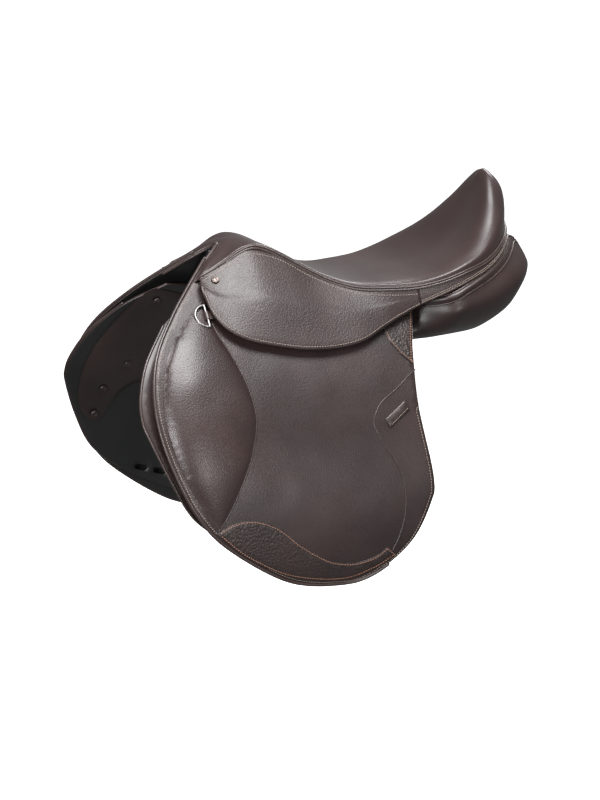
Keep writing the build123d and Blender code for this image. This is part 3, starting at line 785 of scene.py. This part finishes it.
def skirt(side, sign):
    """The skirt and the cantle strip behind it, with their stitching."""
    moving = sheet_from_grid(f"skirt_leather_{side}", whole_skirt[:split + 1], SKIRT_THICK,
                             MATERIALS["skirt"], sign)
    bend(moving, side, sign, "skirt", "grain_leather", f"skirt_upper_{side}", f"skirt_{side}")
    strip = sheet_from_grid(f"cantle_strip_{side}", whole_skirt[split:], SKIRT_THICK,
                            MATERIALS["skirt"], sign)
    add(strip, "root", "grain_leather", *(["cantle_skirt"] if side == "left" else []))
    edge_run = grid_run(whole_skirt, 3.2, sign, 4, split + 1)
    inner_run = grid_run(whole_skirt, 9.0, sign, 2, split + 1, from_foot=False)
    bend(stitches(f"skirt_stitch_{side}", [edge_run, inner_run], MATERIALS["beige"]), side, sign, "skirt",
         "grain_leather")
    rows = [grid_run(whole_skirt, distance, sign, split) for distance in (3.0, 5.6)]
    sewn = stitches(f"cantle_stitch_{side}", rows, MATERIALS["beige"], length=1.9, gap=0.7)
    add(sewn, "root", "grain_leather")


for side, sign in SIDES:
    skirt(side, sign)


# --- Flaps ----------------------------------------------------------------------------------------
flap_front = smooth(unroll(FLAP_FRONT + FLAP_FOOT), 420)
flap_outline = join_curves(flap_front, unroll(FLAP_TOP), count=460)
flap_sewn = slice(8, len(flap_front) - 6)
flap_stitch_line = flap_front[flap_sewn] + (inset(flap_outline, 5.5) - flap_outline)[flap_sewn]
sweat_outline = join_curves(smooth(unroll(SWEAT_FRONT + SWEAT_FOOT), 380), unroll(SWEAT_TOP), count=420)
toe_outline = join_curves(smooth(unroll(TOE_TOP), 120), smooth(unroll(TOE_FOOT), 120), count=240)
roll_outline = join_curves(smooth(unroll(ROLL_FRONT), 120), smooth(unroll(ROLL_REAR), 120), count=260)
wing_outline = smooth(unroll(WING), 260, closed=True)
patch_outline = join_curves(unroll(REAR_PATCH), count=120)
keeper_outline = join_curves(unroll(KEEPER), count=80)
FLAP_PIPED = 275                    # points of the flap's front edge that the piping follows
ROLL_SEAM = slice(118, 250)         # points of the knee block's outline along its rear seam
KEEPER_LINES = ([(-16.5, -89.5), (-46.5, -107)], [(-12.5, -97), (-42.5, -116)])


def slot_loop(x, z):
    """A strap slot with round ends, 20 by 9 mm, laid at a slant."""
    angle = np.linspace(0, 2 * math.pi, 24, endpoint=False)
    turn = math.radians(-18)
    along, across = 4.5 * np.cos(angle) + 5.5 * np.sign(np.cos(angle)), 4.5 * np.sin(angle)
    return np.stack([x + along * math.cos(turn) - across * math.sin(turn),
                     arc_of(z) + along * math.sin(turn) + across * math.cos(turn)], 1)


slot_loops = [slot_loop(x, z) for x, z in SWEAT_SLOTS]


def roll_relief(flat, faces, on_rim):
    """The knee block: a firm front with its crest close behind it, and a long fall to the rear seam."""
    spine = unroll(ROLL_SPINE)[::-1]
    ahead = np.interp(flat[:, 1], spine[:, 1], spine[:, 0]) - flat[:, 0]
    push = 1.0 + 1.4 * np.clip(0.5 + ahead / 30.0, 0, 1)
    return 13.0 * membrane(flat, faces, on_rim, push) ** 0.62


def wing_relief(flat, faces, on_rim):
    """The panel's front wing: padded inwards, and pulled down at each button."""
    rise = 9.5 * membrane(flat, faces, on_rim, np.ones(len(flat))) ** 0.5
    for x, s in unroll(WING_STUDS):
        square = (flat[:, 0] - x) ** 2 + (flat[:, 1] - s) ** 2
        rise = rise * (1 - 0.55 * np.exp(-square / 120.0))
    return -rise


def flap_set(side, sign):
    """The flap and all that is sewn to it."""
    flap = sheet_piece(f"flap_leather_{side}", flap_outline, sign, 0.0, -LEATHER,
                       [MATERIALS["flap"], MATERIALS["lining"]], two_faced=True, rough=0.7, seed=2)
    bend(flap, side, sign, "flap", "flap_leather", f"flap_top_{side}", f"flap_{side}")
    piping = on_side(inset(flap_front[:FLAP_PIPED], 0.4), 0.2, sign)[0]
    bend(tube(f"flap_piping_{side}", piping, 2.3, MATERIALS["edge"]), side, sign, "flap", "flap_leather")
    run = on_side(flap_stitch_line, 0.15, sign)
    bend(stitches(f"flap_stitch_{side}", [run], MATERIALS["beige"]), side, sign, "flap", "flap_leather")
    roll = sheet_piece(f"knee_block_{side}", roll_outline, sign, 0.9, 0.05, [MATERIALS["roll"]],
                       relief=roll_relief, rough=0.8, seed=5, spacing=3.6)
    bend(roll, side, sign, "flap", "roll_leather", f"knee_roll_top_{side}", f"knee_roll_{side}")
    seam = on_side(inset(roll_outline, -0.6)[ROLL_SEAM], 0.4, sign)[0]
    bend(tube(f"knee_block_seam_{side}", seam, 0.9, MATERIALS["edge"]), side, sign, "flap", "roll_leather")
    toe = sheet_piece(f"toe_leather_{side}", toe_outline, sign, 1.3, 0.02, [MATERIALS["patch"]], edge=0.5)
    add(toe, f"{side}_flap", "patch_leather", f"toe_patch_{side}")
    runs = [on_side(inset(toe_outline, 2.2)[2:-2], 1.5, sign)]
    add(stitches(f"toe_stitch_{side}", runs, MATERIALS["rust"]), f"{side}_flap", "patch_leather")
    patch = sheet_piece(f"rear_patch_leather_{side}", patch_outline, sign, 1.3, 0.02,
                        [MATERIALS["patch"]], edge=0.5)
    bend(patch, side, sign, "flap", "patch_leather", f"rear_patch_{side}")
    runs = [on_side(inset(patch_outline, 2.4), 1.5, sign)]
    bend(stitches(f"rear_patch_stitch_{side}", runs, MATERIALS["rust"]), side, sign, "flap", "patch_leather")
    strap = sheet_piece(f"keeper_strap_{side}", keeper_outline, sign, 2.4, 0.02,
                        [MATERIALS["flap"]], edge=0.6)
    add(strap, f"{side}_flap", "flap_leather", f"keeper_{side}")
    lines = [side_run(line, 2.6, sign) for line in KEEPER_LINES]
    sewn = stitches(f"keeper_stitch_{side}", lines, MATERIALS["beige"], length=1.8)
    add(sewn, f"{side}_flap", "flap_leather")
    points, normals = side_run(REAR_SEAM, 0.0, sign)
    add(tube(f"rear_seam_{side}", points, 1.0, MATERIALS["edge"]), f"{side}_flap", "flap_leather")
    sewn = stitches(f"rear_seam_stitch_{side}", [(points + 0.8 * normals, normals)], MATERIALS["dark"])
    add(sewn, f"{side}_flap", "flap_leather")


def inner_set(side, sign):
    """The sweat flap with its strap slots, and the padded wing inside it."""
    sweat = sheet_piece(f"sweat_flap_leather_{side}", sweat_outline, sign, SWEAT_OFF, SWEAT_OFF - LEATHER,
                        [MATERIALS["panel"], MATERIALS["lining"]], two_faced=True, rough=0.4, seed=4,
                        holes=slot_loops)
    add(sweat, "root", "lining_leather", f"sweat_flap_{side}")
    front = on_side(smooth(unroll(SWEAT_FRONT[1:]), 200), SWEAT_OFF, sign)[0]
    add(tube(f"sweat_piping_{side}", front, 1.8, MATERIALS["edge"]), "root", "lining_leather")
    wing = sheet_piece(f"wing_pad_{side}", wing_outline, sign, WING_BASE - 0.9, WING_BASE,
                       [MATERIALS["panel"]], relief=wing_relief, rough=0.8, seed=6, spacing=4.5)
    add(wing, "root", "panel_leather", f"panel_wing_{side}")


for side, sign in SIDES:
    flap_set(side, sign)
    inner_set(side, sign)


# --- Panels ---------------------------------------------------------------------------------------
def panel(side, sign):
    """One stuffed panel with rounded ends, and the piping along its flange."""
    rows = rows_between(PANEL_ROWS, 7)
    grid = np.array([smooth(row, PANEL_RING, closed=True) for row in rows])
    flip = np.array([1, sign, 1])
    along = np.array([1.0, 0, 0])
    first, last = grid[0].mean(0), grid[-1].mean(0) + 3.0 * along
    front_cap = grid[0] * 0.5 + first * 0.5 - 4.0 * along
    rear_cap = grid[-1] * 0.5 + last * 0.5 + 1.5 * along
    front_tip, rear_tip = (np.repeat([tip], PANEL_RING, 0) for tip in (first - 5.0 * along, last + along))
    points = np.array([front_tip, front_cap, *grid, rear_cap, rear_tip])
    points = points + grid_normals(points) * wander(points, 0.9, 32.0, 8)[..., None] * 0.6
    faces = ring_faces(len(points), PANEL_RING)
    obj = clean(new_object(f"panel_pad_{side}", points.reshape(-1, 3) * flip, faces, [MATERIALS["panel"]]),
                merge=0.0001)
    add(obj, "root", "panel_leather", f"panel_{side}")
    inner, _, flange_top, flange_foot = rows[PANEL_PIPED_FROM:, :4].transpose(1, 0, 2)
    for name, line, radius in (("top", flange_top, 2.0), ("foot", flange_foot, 1.3)):
        piping = tube(f"panel_piping_{name}_{side}", resample(line * flip, 90), radius, MATERIALS["edge"])
        add(piping, "root", "panel_leather")
    away = flange_foot - inner
    away /= np.linalg.norm(away, axis=1)[:, None]
    middle = 0.55 * flange_top + 0.45 * flange_foot + 1.2 * away
    add(stitches(f"panel_stitch_{side}", [(middle * flip, away * flip)], MATERIALS["dark"]),
        "root", "panel_leather")


for side, sign in SIDES:
    panel(side, sign)


# --- Small fittings -------------------------------------------------------------------------------
DOME_SIDES = 28


def dome(name, centre, normal, radius, height, material, dimple=0.0):
    """A turned button: rings from its rim to its middle."""
    normal = np.asarray(normal, float) / np.linalg.norm(normal)
    side = np.cross(normal, [1, 0, 0]) if abs(normal[0]) < 0.9 else np.cross(normal, [0, 1, 0])
    side /= np.linalg.norm(side)
    other = np.cross(normal, side)
    angle = np.linspace(0, 2 * math.pi, DOME_SIDES, endpoint=False)
    rings = [(1.0, -0.6), (1.02, 0.1), (0.96, 0.55), (0.84, 0.85), (0.7, 0.95), (0.62, 0.8 - dimple),
             (0.4, 0.9 - dimple), (0.18, 1.0 - dimple)]
    rows = [centre + radius * r * (np.cos(angle)[:, None] * side + np.sin(angle)[:, None] * other)
            + normal * height * h for r, h in rings]
    faces = ring_faces(len(rows), DOME_SIDES)
    last = DOME_SIDES * (len(rows) - 1)
    faces += [tuple(range(DOME_SIDES))[::-1], tuple(range(last, last + DOME_SIDES))]
    return clean(new_object(name, np.concatenate(rows), faces, [material]))


def fittings(side, sign):
    """The nail at the skirt's front and the buttons of the wing."""
    flip = np.array([1, sign, 1])
    column = resample(whole_skirt[NAIL_COLUMN], SKIRT_STEPS)
    n = np.cross(column[6] - column[4], whole_skirt[NAIL_COLUMN + 1][1] - whole_skirt[NAIL_COLUMN - 1][1])
    n = n if n[1] > 0 else -n
    centre = column[5] + n / np.linalg.norm(n) * 0.8
    nail = dome(f"nail_cap_{side}", centre * flip, n * flip, 5.4, 2.0, MATERIALS["nail"], dimple=0.25)
    add(nail, "root", "nail_leather", f"skirt_nail_{side}")
    for k, (x, s) in enumerate(unroll(WING_STUDS)):
        p, n = on_side(np.array([[x, s]]), WING_BASE - 5.0, sign)
        stud = dome(f"wing_button_{side}_{k + 1}", p[0], -n[0], 5.2, 2.4, MATERIALS["edge"], dimple=0.4)
        add(stud, "root", "panel_leather", *([f"wing_studs_{side}"] if k == 0 else []))


for side, sign in SIDES:
    fittings(side, sign)

# Materials of the CAD solids that stay in view
node_look = {"stirrup_bar": "steel", "bar_catch": "steel", "bar_rivets": "steel", "head_plate": "painted",
             "dee_ring": "chrome", "dee_chape": "strap", "billet_front": "strap", "billet_middle": "strap",
             "billet_rear": "strap", "billet_web": "web", "seat_webbing": "web", "tree": "wood"}
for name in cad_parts:
    key = name.replace("_left", "").replace("_right", "")
    obj = bpy.data.objects.get(name)
    if obj is not None and key in node_look:
        obj.data.materials.clear()
        obj.data.materials.append(MATERIALS[node_look[key]])

# --- Floor, lights and camera ---------------------------------------------------------------------
floor_z = -0.62
mesh = bpy.data.meshes.new("floor")
span = 60.0
mesh.from_pydata([(x * span, y * span, floor_z) for x, y in ((-1, -1), (1, -1), (1, 1), (-1, 1))],
                 [], [(0, 1, 2, 3)])
floor = bpy.data.objects.new("floor", mesh)
bpy.context.scene.collection.objects.link(floor)
floor_material, _, _, floor_shader = principled("floor_white", (0.86, 0.86, 0.86), 0.9)
floor_shader.inputs["Emission Color"].default_value = (1, 1, 1, 1)
floor_shader.inputs["Emission Strength"].default_value = 0.95
mesh.materials.append(floor_material)
floor.visible_diffuse = False
floor.visible_glossy = False

world = bpy.data.worlds.new("studio")
bpy.context.scene.world = world
world.use_nodes = True
world.node_tree.nodes["Background"].inputs["Color"].default_value = (1, 1, 1, 1)
world.node_tree.nodes["Background"].inputs["Strength"].default_value = 0.24


def area_light(name, place, aim, size, power):
    """A softbox at a place, turned to a point of the saddle."""
    light = bpy.data.lights.new(name, "AREA")
    light.shape = "RECTANGLE"
    light.size, light.size_y = size
    light.energy = power
    obj = bpy.data.objects.new(name, light)
    bpy.context.scene.collection.objects.link(obj)
    obj.location = place
    obj.rotation_euler = (Vector(aim) - Vector(place)).to_track_quat("-Z", "Y").to_euler()


area_light("key_top", (-0.25, -0.7, 1.9), (-0.05, -0.05, 0.0), (1.5, 0.9), 88)
area_light("side_left", (-2.0, -1.5, 0.5), (-0.15, -0.12, -0.1), (0.6, 1.2), 46)
area_light("front_low", (0.1, -2.4, 0.15), (-0.1, -0.15, -0.15), (0.7, 0.6), 15)
area_light("back_rim", (1.4, 1.2, 1.5), (0.05, 0, 0.1), (1.0, 0.7), 24)

camera_data = bpy.data.cameras.new("camera")
camera_data.sensor_width = 36.0
camera_data.lens = 112.5
camera = bpy.data.objects.new("camera", camera_data)
bpy.context.scene.collection.objects.link(camera)
turn, fall = math.radians(-24.4), math.radians(14.2)
forward = Vector((-math.sin(turn) * math.cos(fall), math.cos(turn) * math.cos(fall), -math.sin(fall)))
camera.location = Vector((-1.48193, -3.06583, 0.74813))
camera.rotation_euler = forward.to_track_quat("-Z", "Y").to_euler()
camera_data.shift_y = -10.0 / 800.0
bpy.context.scene.camera = camera
bpy.context.scene.view_settings.view_transform = "Standard"
